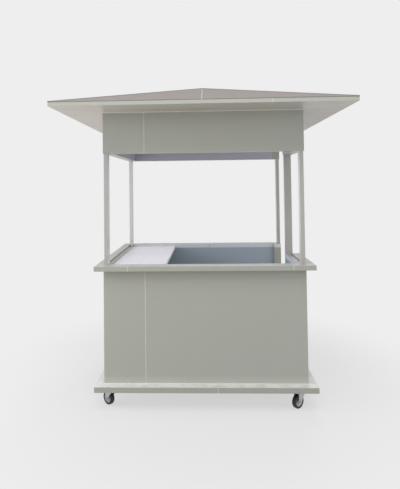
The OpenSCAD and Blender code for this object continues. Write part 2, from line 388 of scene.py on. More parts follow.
@dataclass(frozen=True)
class Laminate(Finish):
    """White laminate board with a fine texture and hairline scratches."""

    dim: float = 0.98
    bright: float = 1.01
    clouds: Mottle = Mottle(3)
    scratch: Colour = shade(198, 197, 206)
    scratched: float = 0.25
    hairlines: Mottle = Mottle(40, 2, 0.5, 0.8, (1, 0.03, 1))
    smoother: float = 0.03
    rougher: float = 0.04
    rubbed: Mottle = Mottle(9, 1)
    texture: float = 0.02 * MM
    grain: Mottle = Mottle(150, 1)

    def paint(self, recipe: Recipe) -> None:
        """Fill the material's nodes.

        Args:
            recipe: The node tree to fill.
        """
        tone = recipe.blend(recipe.spread(self.clouds), self.tinted(self.dim), self.tinted(self.bright))
        tone = recipe.blend(recipe.spread(self.hairlines, 0.0, self.scratched), tone, self.scratch)
        recipe.set("Base Color", tone)
        recipe.set("Roughness", recipe.spread(self.rubbed, self.roughness - self.smoother,
                                              self.roughness + self.rougher))
        recipe.set("Normal", recipe.bump(recipe.noise(self.grain), self.texture))


@dataclass(frozen=True)
class SealantBead(Finish):
    """Neutral silicone, a little uneven where it was smoothed by hand."""

    dim: float = 0.92
    bright: float = 1.04
    clouds: Mottle = Mottle(40, 3)
    rougher: float = 0.15
    rubbed: Mottle = Mottle(60)
    texture: float = 0.4 * MM
    ripples: Mottle = Mottle(130)

    def paint(self, recipe: Recipe) -> None:
        """Fill the material's nodes.

        Args:
            recipe: The node tree to fill.
        """
        tone = recipe.blend(recipe.spread(self.clouds), self.tinted(self.dim), self.tinted(self.bright))
        recipe.set("Base Color", tone)
        recipe.set("Roughness", recipe.spread(self.rubbed,
                                              self.roughness, self.roughness + self.rougher))
        recipe.set("Normal", recipe.bump(recipe.noise(self.ripples), self.texture))


@dataclass(frozen=True)
class DeckVinyl(Finish):
    """Speckled vinyl on a deck board, worn paler where people stand."""

    fleck: Colour = shade(150, 152, 152)
    flecks: Mottle = Mottle(520, 2, 0.58, 0.66)
    worn: float = 0.35
    treads: Mottle = Mottle(3.5, 4, 0.5, 0.75)
    rougher: float = 0.15
    texture: float = 0.1 * MM
    grain: Mottle = Mottle(900)

    def paint(self, recipe: Recipe) -> None:
        """Fill the material's nodes.

        Args:
            recipe: The node tree to fill.
        """
        flecked = recipe.blend(recipe.spread(self.flecks), self.colour, self.fleck)
        worn = recipe.spread(self.treads, 0.0, self.worn)
        recipe.set("Base Color", recipe.blend(worn, flecked, self.fleck))
        recipe.set("Roughness", recipe.span(worn, 0.0, self.worn,
                                            self.roughness, self.roughness + self.rougher))
        recipe.set("Normal", recipe.bump(recipe.noise(self.grain), self.texture))


@dataclass(frozen=True)
class PlatedSteel(Finish):
    """Zinc plated pressed steel with a cloudy bloom and a few dull spots."""

    dim: float = 0.85
    bright: float = 1.1
    bloom: Mottle = Mottle(70, 4, 0.35)
    dull: Colour = shade(140, 138, 132)
    dulled: float = 0.6
    spots: Mottle = Mottle(260, 3, 0.6, 0.72)
    rougher: float = 0.16
    texture: float = 0.04 * MM
    grain: Mottle = Mottle(600)

    def paint(self, recipe: Recipe) -> None:
        """Fill the material's nodes.

        Args:
            recipe: The node tree to fill.
        """
        recipe.set("Metallic", 1.0)
        bloom = recipe.spread(self.bloom)
        tone = recipe.blend(bloom, self.tinted(self.dim), self.tinted(self.bright))
        spots = recipe.spread(self.spots, 0.0, self.dulled)
        recipe.set("Base Color", recipe.blend(spots, tone, self.dull))
        recipe.set("Roughness", recipe.span(bloom, 0.0, 1.0,
                                            self.roughness, self.roughness + self.rougher))
        recipe.set("Normal", recipe.bump(recipe.noise(self.grain), self.texture))


@dataclass(frozen=True)
class PrimedSteel(Finish):
    """Brushed primer on welded tube, with thin rust at its scratches."""

    dim: float = 0.9
    bright: float = 1.08
    strokes: Mottle = Mottle(130, 3, stretch=(0.12, 0.12, 1))
    stroke_depth: float = 0.15 * MM
    rust: Colour = shade(112, 72, 46)
    rust_roughness: float = 0.85
    scratches: Mottle = Mottle(38, 5, 0.66, 0.74)

    def paint(self, recipe: Recipe) -> None:
        """Fill the material's nodes.

        Args:
            recipe: The node tree to fill.
        """
        strokes = recipe.spread(self.strokes)
        tone = recipe.blend(strokes, self.tinted(self.dim), self.tinted(self.bright))
        worn = recipe.spread(self.scratches)
        recipe.set("Base Color", recipe.blend(worn, tone, self.rust))
        recipe.set("Roughness", recipe.span(worn, 0.0, 1.0, self.roughness, self.rust_roughness))
        recipe.set("Normal", recipe.bump(strokes, self.stroke_depth))


@dataclass(frozen=True)
class Moulding(Finish):
    """Moulded rubber, with grey dust in its grain."""

    dust: Colour = shade(96, 92, 86)
    dusty: float = 0.4
    patches: Mottle = Mottle(90, 4, 0.5, 0.8)
    rougher: float = 0.2
    texture: float = 0.06 * MM
    pebbles: float = 1400.0

    def paint(self, recipe: Recipe) -> None:
        """Fill the material's nodes.

        Args:
            recipe: The node tree to fill.
        """
        dusty = recipe.spread(self.patches, 0.0, self.dusty)
        recipe.set("Base Color", recipe.blend(dusty, self.colour, self.dust))
        recipe.set("Roughness", recipe.span(dusty, 0.0, self.dusty,
                                            self.roughness, self.roughness + self.rougher))
        recipe.set("Normal", recipe.bump(recipe.cells(self.pebbles), self.texture))


class Look(Enum):
    """What a piece is made of: the record's slot and the finish."""

    PANEL = ("panel", CoatedSheet("panel_coat", shade(162, 163, 153), 0.36))
    # The fascia gets a lighter copy of the panel coat: painted sky light, which the overhang keeps off
    # the walls.
    FASCIA = ("panel", CoatedSheet("fascia_coat", shade(174, 176, 166), 0.36))
    # Plinth coat: a little darker than the wall coat, with a paler top that is dust and painted light
    # from above.
    PLINTH = ("panel", CoatedSheet("plinth_coat", shade(157, 158, 149), 0.36, film=0.0, settled=0.9,
                                   settled_dust=shade(206, 209, 205)))
    POST = ("post", CoatedSheet("post_coat", shade(170, 170, 164), 0.34, bow=0.2 * MM))
    # Post faces toward a window: a lighter copy of the post coat, painted light that falls through the
    # windows.
    REVEAL = ("post", CoatedSheet("reveal_coat", shade(200, 198, 197), 0.34, bow=0.2 * MM))
    # Inner faces of the ledge: pale edging, made lighter still by painted light falling on them.
    EDGING = ("panel", CoatedSheet("ledge_edging", shade(211, 215, 221), 0.42))
    SOFFIT = ("soffit", CoatedSheet("soffit_coat", shade(182, 174, 165), 0.38))
    ROOF = ("roof", CoatedSheet("roof_coat", shade(132, 125, 121), 0.75, gloss=0.1, settled=0.12))
    LINING = ("slate", CoatedSheet("lining_coat", shade(163, 175, 187), 0.42, film=0.25))
    # Header linings: the lining coat made redder and lighter, painted light bounced from the worktop and
    # the ceiling.
    BAND_LINING = ("slate", CoatedSheet("band_lining_coat", shade(176, 175, 187), 0.42))
    BOARD = ("white_board", Laminate("board_laminate", shade(232, 230, 239), 0.42))
    SEALANT = ("panel", SealantBead("joint_silicone", shade(195, 195, 186), 0.4))
    DECK = ("floor", DeckVinyl("deck_vinyl", shade(112, 115, 116), 0.5))
    FRAME = ("frame_steel", PrimedSteel("frame_primer", shade(92, 95, 97), 0.55))
    ZINC = ("zinc", PlatedSteel("plated_zinc", shade(188, 190, 194), 0.28))
    TYRE = ("tyre_rubber", Moulding("tyre_moulding", shade(26, 26, 30), 0.55))
    RIM = ("zinc", PlatedSteel("rim_zinc", shade(168, 171, 178), 0.36))

    @property
    def slot(self) -> str:
        """Name of the record's material slot."""
        return self.value[0]

    @property
    def finish(self) -> Finish:
        """Finish of the surface."""
        return self.value[1]


# Shapes


class Axis(Enum):
    """An axis of the frame."""

    X = 0
    Y = 1

    @property
    def along(self) -> Vector:
        """Unit vector along the axis."""
        return Vector([float(self.value == i) for i in range(3)])


def outline(*corners: Pair) -> Outline:
    """Turn the corners of an outline from millimetres into metres."""
    return tuple((first * MM, second * MM) for first, second in corners)


def copy_of(node: str) -> Shape:
    """Copy a CAD node's mesh, with its doubles merged and its flats whole.

    Args:
        node: Name of the CAD node.

    Returns:
        The copy.
    """
    shape = bmesh.new()
    shape.from_mesh(frame["nodes"][node].data)
    bmesh.ops.remove_doubles(shape, verts=shape.verts, dist=MERGE)
    bmesh.ops.dissolve_limit(shape, angle_limit=FLAT, verts=shape.verts, edges=shape.edges)
    return shape


def join(shapes: list[Shape]) -> Shape:
    """Join shapes into one, and free them.

    Args:
        shapes: The shapes to join.

    Returns:
        One shape that holds them all.
    """
    whole = bmesh.new()
    for shape in shapes:
        mesh = bpy.data.meshes.new("joined")
        shape.to_mesh(mesh)
        whole.from_mesh(mesh)
        bpy.data.meshes.remove(mesh)
        shape.free()
    return whole


def moved(shape: Shape, place: Matrix) -> Shape:
    """Move and turn a shape to a place, and give it back."""
    bmesh.ops.transform(shape, matrix=place, verts=shape.verts)
    return shape


def rounded(shape: Shape, places: list[bmesh.types.BMEdge] | list[bmesh.types.BMVert],
            radius: float, segments: int = 2, affect: str = "EDGES") -> Shape:
    """Round some edges or corners of a shape.

    Args:
        shape: The shape, which is changed.
        places: Its edges or corners to round.
        radius: Radius of the rounding.
        segments: Number of faces round each place.
        affect: EDGES or VERTICES, to suit the places.

    Returns:
        The same shape.
    """
    bmesh.ops.bevel(shape, geom=places, offset=radius, offset_type="OFFSET", segments=segments,
                    profile=0.5, affect=affect, material=-1, clamp_overlap=True)
    bmesh.ops.remove_doubles(shape, verts=shape.verts, dist=MERGE)
    return shape


def soften(shape: Shape, radius: float) -> Shape:
    """Round all of a shape's sharp edges, and give it back."""
    inner = [edge for edge in shape.edges if len(edge.link_faces) == 2]
    return rounded(shape, [edge for edge in inner if edge.calc_face_angle(0) > SHARP], radius)


def mark_inward(faces: Iterable[bmesh.types.BMFace], axis: Axis) -> None:
    """Give the second finish to faces that look towards the middle of the booth.

    Args:
        faces: The faces to go through.
        axis: Axis that they look along.
    """
    for face in faces:
        out = face.normal[axis.value]
        if abs(out) > SQUARE_ON and out * face.calc_center_median()[axis.value] < 0:
            face.material_index = 1


def block(low: Vector, high: Vector) -> Shape:
    """Make a block.

    Args:
        low: Its lowest corner.
        high: Its highest corner.

    Returns:
        The block.
    """
    shape = bmesh.new()
    place = Matrix.Translation((low + high) / 2) @ Matrix.Diagonal((*(high - low), 1))
    bmesh.ops.create_cube(shape, size=1, matrix=place)
    return shape


def rod(start: Vector, end: Vector, radius: float, sides: int = 24) -> Shape:
    """Make a rod from one point to another.

    Args:
        start: Middle of one end.
        end: Middle of the other end.
        radius: Radius to its corners.
        sides: Number of flats round it.

    Returns:
        The rod.
    """
    shape = bmesh.new()
    along = end - start
    turn = UP.rotation_difference(along).to_matrix().to_4x4()
    bmesh.ops.create_cone(shape, cap_ends=True, segments=sides, radius1=radius, radius2=radius,
                          depth=along.length, matrix=Matrix.Translation((start + end) / 2) @ turn)
    return shape


def spun(section: Outline, steps: int = 64) -> Shape:
    """Spin a closed outline about the Z axis.

    Args:
        section: Its corners as radius and height.
        steps: Number of faces round the axis.

    Returns:
        The ring.
    """
    shape = bmesh.new()
    corners = [shape.verts.new((radius, 0, z)) for radius, z in section]
    edges = [shape.edges.new(pair) for pair in zip(corners, corners[1:] + corners[:1])]
    bmesh.ops.spin(shape, geom=corners + edges, axis=UP, cent=(0, 0, 0), angle=2 * math.pi,
                   steps=steps, use_merge=True, use_duplicate=False)
    bmesh.ops.recalc_face_normals(shape, faces=shape.faces)
    return shape


def cleave(shape: Shape, axis: Axis, place: float) -> Shape:
    """Cut a shape in two and close both halves.

    Args:
        shape: The shape, which keeps its half below the cut.
        axis: Axis across the cut.
        place: Where the cut is on that axis.

    Returns:
        The half above the cut.
    """
    upper = shape.copy()
    for part, side in ((shape, 1), (upper, -1)):
        bmesh.ops.bisect_plane(part, geom=part.verts[:] + part.edges[:] + part.faces[:], dist=ON_PLANE,
                               plane_co=axis.along * place, plane_no=axis.along * side, clear_outer=True)
        rim = [edge for edge in part.edges if edge.is_boundary]
        bmesh.ops.holes_fill(part, edges=rim, sides=0)
        bmesh.ops.recalc_face_normals(part, faces=part.faces)
    return upper


def bead(path: Outline, height: float, rise: float, closed: bool = False, hollow: float = 0.36) -> Shape:
    """Lay a run of sealant in the inner corner along a line of square turns.

    Args:
        path: Corners of the line as X and Y, counter-clockwise seen from above.
        height: Height of the line.
        rise: How far the run goes up the wall, or down it if negative, and out from it.
        closed: Whether the line ends where it starts.
        hollow: Share of the rise at which the run's hollow face stands.

    Returns:
        The run.
    """
    shape = bmesh.new()
    corners = [Vector((x, y, height)) for x, y in path]
    ahead = corners[1:] + corners[:1]
    outs = [(end - start).normalized().cross(UP) for start, end in zip(corners, ahead)]
    if closed:
        outs = [before + after for before, after in zip(outs[-1:] + outs, outs)]
    else:
        outs = [outs[0]] + [before + after for before, after in zip(outs, outs[1:-1])] + [outs[-2]]
    lift = UP * rise
    loops = []
    for corner, out in zip(corners, outs):
        reach = out * abs(rise)
        steps = (Vector(), reach, (reach + lift) * hollow, lift)
        ring = [shape.verts.new(corner + step) for step in steps]
        loops.append([shape.edges.new(pair) for pair in zip(ring, ring[1:] + ring[:1])])
    pairs = list(zip(loops, loops[1:] + loops[:1]))
    for first, second in pairs if closed else pairs[:-1]:
        bmesh.ops.bridge_loops(shape, edges=first + second)
    bmesh.ops.holes_fill(shape, edges=[edge for edge in shape.edges if edge.is_boundary], sides=0)
    bmesh.ops.recalc_face_normals(shape, faces=shape.faces)
    return shape


# Sub-assemblies


@dataclass
class SubAssembly:
    """Pieces of one part of the booth, which ride on one body."""

    body: str = "booth"
    pieces: list[tuple[bpy.types.Object, tuple[Look, ...]]] = field(default_factory=list)

    def add(self, name: str, shape: Shape, look: Look, *nodes: str,
            second: tuple[Look, ...] = ()) -> None:
        """Make a shape a piece.

        Args:
            name: Name of the piece.
            shape: Its shape, which is freed.
            look: What it is made of.
            nodes: CAD nodes that it stands for.
            second: What its marked faces are made of.
        """
        mesh = bpy.data.meshes.new(name)
        for face in shape.faces:
            face.smooth = True
        for edge in shape.edges:
            edge.smooth = edge.calc_face_angle(0) < CREASE
        shape.to_mesh(mesh)
        shape.free()
        piece = bpy.data.objects.new(name, mesh)
        bpy.context.scene.collection.objects.link(piece)
        even = piece.modifiers.new("even_faces", "WEIGHTED_NORMAL")
        even.keep_sharp = True
        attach(piece, self.body)
        if nodes:
            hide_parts(*nodes)
        self.pieces.append((piece, (look, *second)))

    def dress(self) -> None:
        """Give every piece its finish, and report it."""
        for piece, looks in self.pieces:
            for look in looks:
                piece.data.materials.append(look.finish.material())
            names = " and ".join(look.name.lower() for look in looks)
            LOG.info("%s: %s, %d faces", piece.name, names, len(piece.data.polygons))

    def build(self) -> None:
        """Make the pieces."""
        raise NotImplementedError


@dataclass
class SheetWork(SubAssembly):
    """Sheets with rounded edges, split at their joints and sealed."""

    edge: float = 0.8 * MM
    joint: float = 6 * MM
    crown_share: float = 0.1
    crown_steps: int = 3
    run: float = 6 * MM
    sealed: list[Shape] = field(default_factory=list)

    def split(self, shape: Shape, axis: Axis, place: float) -> Shape:
        """Cut a joint through a sheet and keep the sealant that fills it.

        Args:
            shape: The sheet, which is freed.
            axis: Axis across the joint.
            place: Middle of the joint on that axis.

        Returns:
            The sheet in two parts.
        """
        upper = cleave(shape, axis, place + self.joint / 2)
        filler = cleave(shape, axis, place - self.joint / 2)
        long_edges = [edge for edge in filler.edges
                      if abs(edge.verts[0].co[axis.value] - edge.verts[1].co[axis.value]) < MERGE]
        self.sealed.append(rounded(filler, long_edges, self.joint * self.crown_share, self.crown_steps))
        return join([shape, upper])

    def sheet(self, node: str, axis: Axis = Axis.X, joints: tuple[float, ...] = ()) -> Shape:
        """Shape the sheets of one CAD node.

        Args:
            node: Name of the CAD node.
            axis: Axis across its joints.
            joints: Middles of its joints on that axis.

        Returns:
            The sheets.
        """
        shape = copy_of(node)
        for place in joints:
            shape = self.split(shape, axis, place)
        return shape

    def clad(self, node: str, look: Look, axis: Axis = Axis.X, joints: tuple[float, ...] = ()) -> None:
        """Make a CAD node's sheets a piece, with joints at the given places on an axis."""
        self.add(f"{node}_sheets", soften(self.sheet(node, axis, joints), self.edge), look, node)

    def seal(self, name: str) -> None:
        """Make all the sealant one piece."""
        self.add(name, join(self.sealed), Look.SEALANT)


@dataclass
class Walls(SheetWork):
    """Wall sheets between the plinth and the ledge, and the jamb beside the doorway."""

    long_joint: float = -440 * MM

    def build(self) -> None:
        """Make the wall sheets, their joints and the runs of sealant at foot and head."""
        for node in ("wall_front", "wall_rear"):
            self.clad(node, Look.PANEL, Axis.X, (self.long_joint,))
        for node in ("wall_left", "wall_right", "door_jamb"):
            self.clad(node, Look.PANEL)
        low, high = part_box("wall_front")
        door_front, door_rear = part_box("wall_right")[1].y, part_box("door_jamb")[0].y
        wide, deep = high.x, -low.y
        round_left = [(wide, deep), (-wide, deep), (-wide, -deep), (wide, -deep), (wide, door_front)]
        self.sealed.append(bead([(wide, door_rear)] + round_left, low.z, self.run))
        self.sealed.append(bead(round_left, high.z, -self.run))
        self.seal("wall_sealant")


@dataclass
class Plinth(SheetWork):
    """Folded plinth trays round the base."""

    long_joint: float = 89 * MM

    def build(self) -> None:
        """Make the trays and their joints."""
        for node in ("plinth_front", "plinth_rear"):
            self.clad(node, Look.PLINTH, Axis.X, (self.long_joint,))
        for node in ("plinth_left", "plinth_right"):
            self.clad(node, Look.PLINTH)
        self.seal("plinth_sealant")


@dataclass
class Ledge(SheetWork):
    """Ledge round the windows, mitred at its corners, with tracks in its sides."""

    front_joints: Pair = (-560 * MM, 648 * MM)
    rear_joints: tuple[float] = (52 * MM,)

    def edged(self, node: str, faces: Axis, joints: tuple[float, ...] = ()) -> None:
        """Make one stretch, with pale edging and painted light where it faces the room.

        Args:
            node: Name of the CAD node.
            faces: Axis that the edging and its painted light face along.
            joints: Middles of its joints on the X axis.
        """
        shape = soften(self.sheet(node, Axis.X, joints), self.edge)
        shape.normal_update()
        mark_inward(shape.faces, faces)
        self.add(f"{node}_sheets", shape, Look.PANEL, node, second=(Look.EDGING,))

    def build(self) -> None:
        """Make the four stretches and their joints. The left one meets the worktop and has neither
        edging nor painted light.
        """
        self.edged("ledge_front", Axis.Y, self.front_joints)
        self.edged("ledge_rear", Axis.Y, self.rear_joints)
        self.edged("ledge_right", Axis.X)
        self.clad("ledge_left", Look.PANEL)
        self.seal("ledge_sealant")


@dataclass
class Header(SheetWork):
    """Header band over the windows and the doorway."""

    long_joint: float = -439 * MM

    def build(self) -> None:
        """Make the sheets, their joints and the run of sealant under the soffit."""
        for node in ("header_front", "header_rear"):
            self.clad(node, Look.PANEL, Axis.X, (self.long_joint,))
        for node in ("header_left", "header_right", "header_door", "header_corner"):
            self.clad(node, Look.PANEL)
        low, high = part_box("header_front")
        around = [(high.x, low.y), (high.x, -low.y), (low.x, -low.y), (low.x, low.y)]
        self.sealed.append(bead(around, high.z, -self.run, closed=True))
        self.seal("header_sealant")


@dataclass
class Eaves(SheetWork):
    """Eave trays: the soffit under the overhang, and the fascia folded up at its edge."""

    fascia: float = 6 * MM
    long_joints: Pair = (-738 * MM, 481 * MM)
    side_joints: tuple[float] = (310 * MM,)

    def tray(self, node: str, along: Axis, across: Axis, joints: tuple[float, ...]) -> None:
        """Make one tray as a soffit piece and a fascia piece.

        Args:
            node: Name of the CAD node.
            along: Axis that the tray runs along.
            across: Axis that the overhang points along.
            joints: Middles of its joints on the axis along.
        """
        low, high = (corner[across.value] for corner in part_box(node))
        faces_back = high > 0
        lower = self.sheet(node, along, joints)
        upper = cleave(lower, across, high - self.fascia if faces_back else low + self.fascia)
        soffit, fascia = (lower, upper) if faces_back else (upper, lower)
        self.add(f"{node}_soffit", soften(soffit, self.edge), Look.SOFFIT, node)
        self.add(f"{node}_fascia", soften(fascia, self.edge), Look.FASCIA, node)

    def build(self) -> None:
        """Make the four trays, their joints and the ceiling between them."""
        for node in ("eave_front", "eave_rear"):
            self.tray(node, Axis.X, Axis.Y, self.long_joints)
        for node in ("eave_left", "eave_right"):
            self.tray(node, Axis.Y, Axis.X, self.side_joints)
        self.clad("ceiling", Look.SOFFIT)
        self.seal("eave_sealant")


@dataclass
class Roof(SheetWork):
    """Four roof sheets, each in two halves, with a round strip along each hip."""

    joint: float = 4 * MM
    sheet_edge: float = 6 * MM
    hip: float = 4 * MM
    hip_sides: int = 12

    def build(self) -> None:
        """Make the sheets, their middle joints and the strips on the hips."""
        for node in ("roof_front", "roof_rear"):
            self.clad(node, Look.ROOF, Axis.X, (0.0,))
        for node in ("roof_left", "roof_right"):
            self.clad(node, Look.ROOF, Axis.Y, (0.0,))
        self.seal("roof_sealant")
        low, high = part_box("roof_front")
        peak = Vector((0, 0, high.z))
        hips = []
        for side_x, side_y in QUARTERS:
            corner = Vector((side_x * high.x, side_y * low.y, low.z + self.sheet_edge))
            hips.append(rod(corner, peak, self.hip, self.hip_sides))
        self.add("roof_hips", join(hips), Look.ROOF)


@dataclass
class Posts(SubAssembly):
    """Painted tube posts at the corners and beside the doorway, with painted light on their faces toward
    a window.
    """

    edge: float = 2 * MM

    def build(self) -> None:
        """Make the posts."""
        for node in ("corner_posts", "door_post"):
            shape = soften(copy_of(node), self.edge)
            shape.normal_update()
            mark_inward(shape.faces, Axis.X)
            mark_inward([face for face in shape.faces if face.calc_center_median().x < 0], Axis.Y)
            self.add(f"{node}_tubes", shape, Look.POST, node, second=(Look.REVEAL,))


@dataclass
class Base(SubAssembly):
    """Primed tube rails under the floor."""

    edge: float = 3 * MM

    def build(self) -> None:
        """Make the rails."""
        for node in ("base_rails", "cross_rails"):
            self.add(f"{node}_tubes", soften(copy_of(node), self.edge), Look.FRAME, node)


@dataclass
class Linings(SheetWork):
    """Inner linings of the walls and of the header."""

    def build(self) -> None:
        """Make the linings."""
        for node in ("lining_front", "lining_rear", "lining_left", "lining_right"):
            self.clad(node, Look.LINING)
        # The header linings carry painted bounce light.
        for node in ("header_linings", "header_side_linings"):
            self.clad(node, Look.BAND_LINING)


@dataclass
class Worktop(SubAssembly):
    """White board along the left side, with a band glued to its open edge."""

    edge: float = 1 * MM
    band: float = 2 * MM

    def build(self) -> None:
        """Make the board and its band."""
        board = copy_of("worktop")
        band = cleave(board, Axis.X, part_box("worktop")[1].x - self.band)
        self.add("worktop_board", soften(board, self.edge / 2), Look.BOARD, "worktop")
        self.add("worktop_band", soften(band, self.edge), Look.BOARD, "worktop")


@dataclass
class Deck(SubAssembly):
    """Floor deck, which runs out through the doorway."""

    edge: float = 1 * MM

    def build(self) -> None:
        """Make the deck."""
        self.add("floor_deck_vinyl", soften(copy_of("floor_deck"), self.edge), Look.DECK, "floor_deck")


# Casters


CORNERS = ("front_left", "front_right", "rear_left", "rear_right")


def joint_place(name: str) -> Vector:
    """Give the place of a joint of the record."""
    return Vector(next(joint["pos_m"] for joint in frame["joints"] if joint["name"] == name))


@dataclass
class CasterMounts(SubAssembly):
    """Fixed halves of the casters: plate, upper race, king pin and bolts."""

    half_plate: Pair = (47.5 * MM, 32.5 * MM)
    plate_corner: float = 9 * MM
    corner_steps: int = 6
    thick: float = 5 * MM
    race: Outline = outline((6, 0), (24, 0), (24, -4), (22.5, -7), (19, -8.4), (6, -8.4))
    bolt_place: Pair = (37.5 * MM, 22.5 * MM)
    washer: Outline = outline((3, 0), (9, 0), (9, -1.5), (3, -1.5))
    washer_steps: int = 24
    bolt_head: Pair = (-1.5 * MM, -6.5 * MM)
    bolt_r: float = 7 * MM
    pin_r: float = 6 * MM
    pin_foot: float = 101 * MM
    nut_r: float = 10 * MM
    nut_t: float = 6 * MM
    edge: float = 0.6 * MM

    def mount(self) -> Shape:
        """Shape one mount with its swivel axis on the Z axis.

        Returns:
            Plate, race, pin and bolts as one shape.
        """
        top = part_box("caster_plates")[1].z
        under = top - self.thick
        wide, deep = self.half_plate
        plate = block(Vector((-wide, -deep, under)), Vector((wide, deep, top)))
        uprights = [edge for edge in plate.edges if edge.verts[0].co.xy == edge.verts[1].co.xy]
        rounded(plate, uprights, self.plate_corner, self.corner_steps)
        drop = Matrix.Translation((0, 0, under))
        pin = rod(UP * self.pin_foot, UP * under, self.pin_r)
        nut = rod(UP * self.pin_foot, UP * (self.pin_foot + self.nut_t), self.nut_r, HEX)
        parts = [soften(plate, self.edge), moved(spun(self.race), drop), pin, soften(nut, self.edge)]
        across, along = self.bolt_place
        head_top, head_foot = self.bolt_head
        for side_x, side_y in QUARTERS:
            place = Matrix.Translation((side_x * across, side_y * along, under))
            head = soften(rod(UP * head_top, UP * head_foot, self.bolt_r, HEX), self.edge)
            parts += [moved(spun(self.washer, self.washer_steps), place), moved(head, place)]
        return join(parts)

    def build(self) -> None:
        """Make a mount at each corner."""
        for corner in CORNERS:
            axis = joint_place(f"swivel_{corner}")
            place = Matrix.Translation((axis.x, axis.y, 0))
            self.add(f"caster_mount_{corner}", moved(self.mount(), place), Look.ZINC, "caster_plates")


@dataclass
class CasterPart(SubAssembly):
    """A moving part of one caster, shaped with the swivel axis on Z and the wheel trailing to +X."""

    corner: str = CORNERS[0]

    def axle(self) -> Vector:
        """Give the middle of the axle where the part is shaped."""
        reach = joint_place(f"spin_{self.corner}") - joint_place(f"swivel_{self.corner}")
        return Vector((reach.xy.length, 0, joint_place(f"spin_{self.corner}").z))

    def place(self) -> Matrix:
        """Work out where the part stands and the way that it trails.

        Returns:
            The move there from where it is shaped.
        """
        swivel = joint_place(f"swivel_{self.corner}")
        reach = joint_place(f"spin_{self.corner}") - swivel
        turn = Matrix.Rotation(math.atan2(reach.y, reach.x), 4, "Z")
        return Matrix.Translation((swivel.x, swivel.y, 0)) @ turn


@dataclass
class CasterFork(CasterPart):
    """Swivelling fork: pressed sheet, lower race and axle bolt."""

    sheet: float = 4 * MM
    half_width: float = 25 * MM
    crown: float = 112 * MM
    back: float = 24 * MM
    toe_reach: float = 14 * MM
    toe_round: float = 8 * MM
    toe_steps: int = 6
    fold: float = 6 * MM
    fold_steps: int = 5
    race: Outline = outline((7, 111), (24.5, 111), (24.3, 115), (22.5, 118.6), (19, 120.4), (7, 120.4))
    bolt_r: float = 5 * MM
    head_r: float = 8.5 * MM
    head_t: float = 3.5 * MM
    edge: float = 0.5 * MM

    def pressing(self) -> Shape:
        """Fold the sheet: a crown between two legs that taper to the axle.

        Returns:
            The folded sheet.
        """
        axle = self.axle()
        foot, tail = axle.z - self.toe_reach, axle.x + self.toe_reach
        line = ((-self.half_width, foot), (-self.half_width, self.crown),
                (self.half_width, self.crown), (self.half_width, foot))
        shape = bmesh.new()
        corners = [shape.verts.new((-self.back, y, z)) for y, z in line]
        edges = [shape.edges.new(pair) for pair in zip(corners, corners[1:])]
        grown = bmesh.ops.extrude_edge_only(shape, edges=edges)["geom"]
        ends = [part for part in grown if isinstance(part, bmesh.types.BMVert)]
        bmesh.ops.translate(shape, verts=ends, vec=(self.back + tail, 0, 0))
        slope = Vector((axle.x - self.toe_reach + self.back, 0, axle.z - self.crown))
        everything = shape.verts[:] + shape.edges[:] + shape.faces[:]
        bmesh.ops.bisect_plane(shape, geom=everything, dist=ON_PLANE, plane_no=slope.cross((0, -1, 0)),
                               plane_co=(-self.back, 0, self.crown), clear_outer=True)
        toes = [vert for vert in shape.verts if vert.co.z < foot + MM]
        rounded(shape, toes, self.toe_round, self.toe_steps, "VERTICES")
        folds = [edge for edge in shape.edges if len(edge.link_faces) == 2]
        rounded(shape, folds, self.fold, self.fold_steps)
        bmesh.ops.recalc_face_normals(shape, faces=shape.faces)
        if max(shape.faces, key=lambda face: face.calc_center_median().z).normal.z < 0:
            bmesh.ops.reverse_faces(shape, faces=shape.faces)
        bmesh.ops.solidify(shape, geom=shape.faces[:], thickness=self.sheet)
        return soften(shape, self.edge)

    def build(self) -> None:
        """Make the fork of one corner."""
        self.body = f"caster_{self.corner}"
        axle = self.axle()
        end = Vector((0, self.half_width + self.head_t, 0))
        face = Vector((0, self.half_width, 0))
        bolt = rod(axle - end, axle + end, self.bolt_r)
        heads = [soften(rod(axle + side * face, axle + side * end, self.head_r, HEX), self.edge)
                 for side in (-1, 1)]
        shape = join([self.pressing(), spun(self.race), bolt, *heads])
        node = f"fork_{self.corner}"
        self.add(f"{node}_pressing", moved(shape, self.place()), Look.ZINC, node)


@dataclass
class CasterWheel(CasterPart):
    """Rubber tyre on a pressed steel rim."""

    half_tyre: Outline = outline((34, -14), (37, -16), (45, -16), (48, -14.4), (49.6, -11), (50, -6))
    half_rim: Outline = outline((5.2, -19.8), (10, -19.8), (11, -18.8), (12, -12), (14.5, -10.4),
                                (18, -11.4), (22, -10.6), (27, -12.4), (30.5, -13.8), (34.4, -13.8))

    def build(self) -> None:
        """Make the tyre and the rim of one corner."""
        self.body = f"caster_wheel_{self.corner}"
        place = self.place() @ Matrix.Translation(self.axle()) @ Matrix.Rotation(math.pi / 2, 4, "X")
        for name, half, look in (("tyre", self.half_tyre, Look.TYRE), ("rim", self.half_rim, Look.RIM)):
            whole = half + tuple((radius, -z) for radius, z in reversed(half))
            self.add(f"{name}_{self.corner}", moved(spun(whole), place), look, f"wheel_{self.corner}")


# Studio


def shown(tree: bpy.types.NodeTree) -> Socket:
    """Add nodes that tell a look from a bounce of light.

    Args:
        tree: Node tree that takes them.

    Returns:
        1 for what the camera, a reflection or a clear surface shows, and 0 for plain light.
    """
    path = tree.nodes.new("ShaderNodeLightPath")
    share = path.outputs["Is Camera Ray"]
    for ray in ("Is Glossy Ray", "Is Transmission Ray"):
        either = tree.nodes.new("ShaderNodeMath")
        either.operation = "MAXIMUM"
        tree.links.new(share, either.inputs[0])
        tree.links.new(path.outputs[ray], either.inputs[1])
        share = either.outputs[0]
    return share


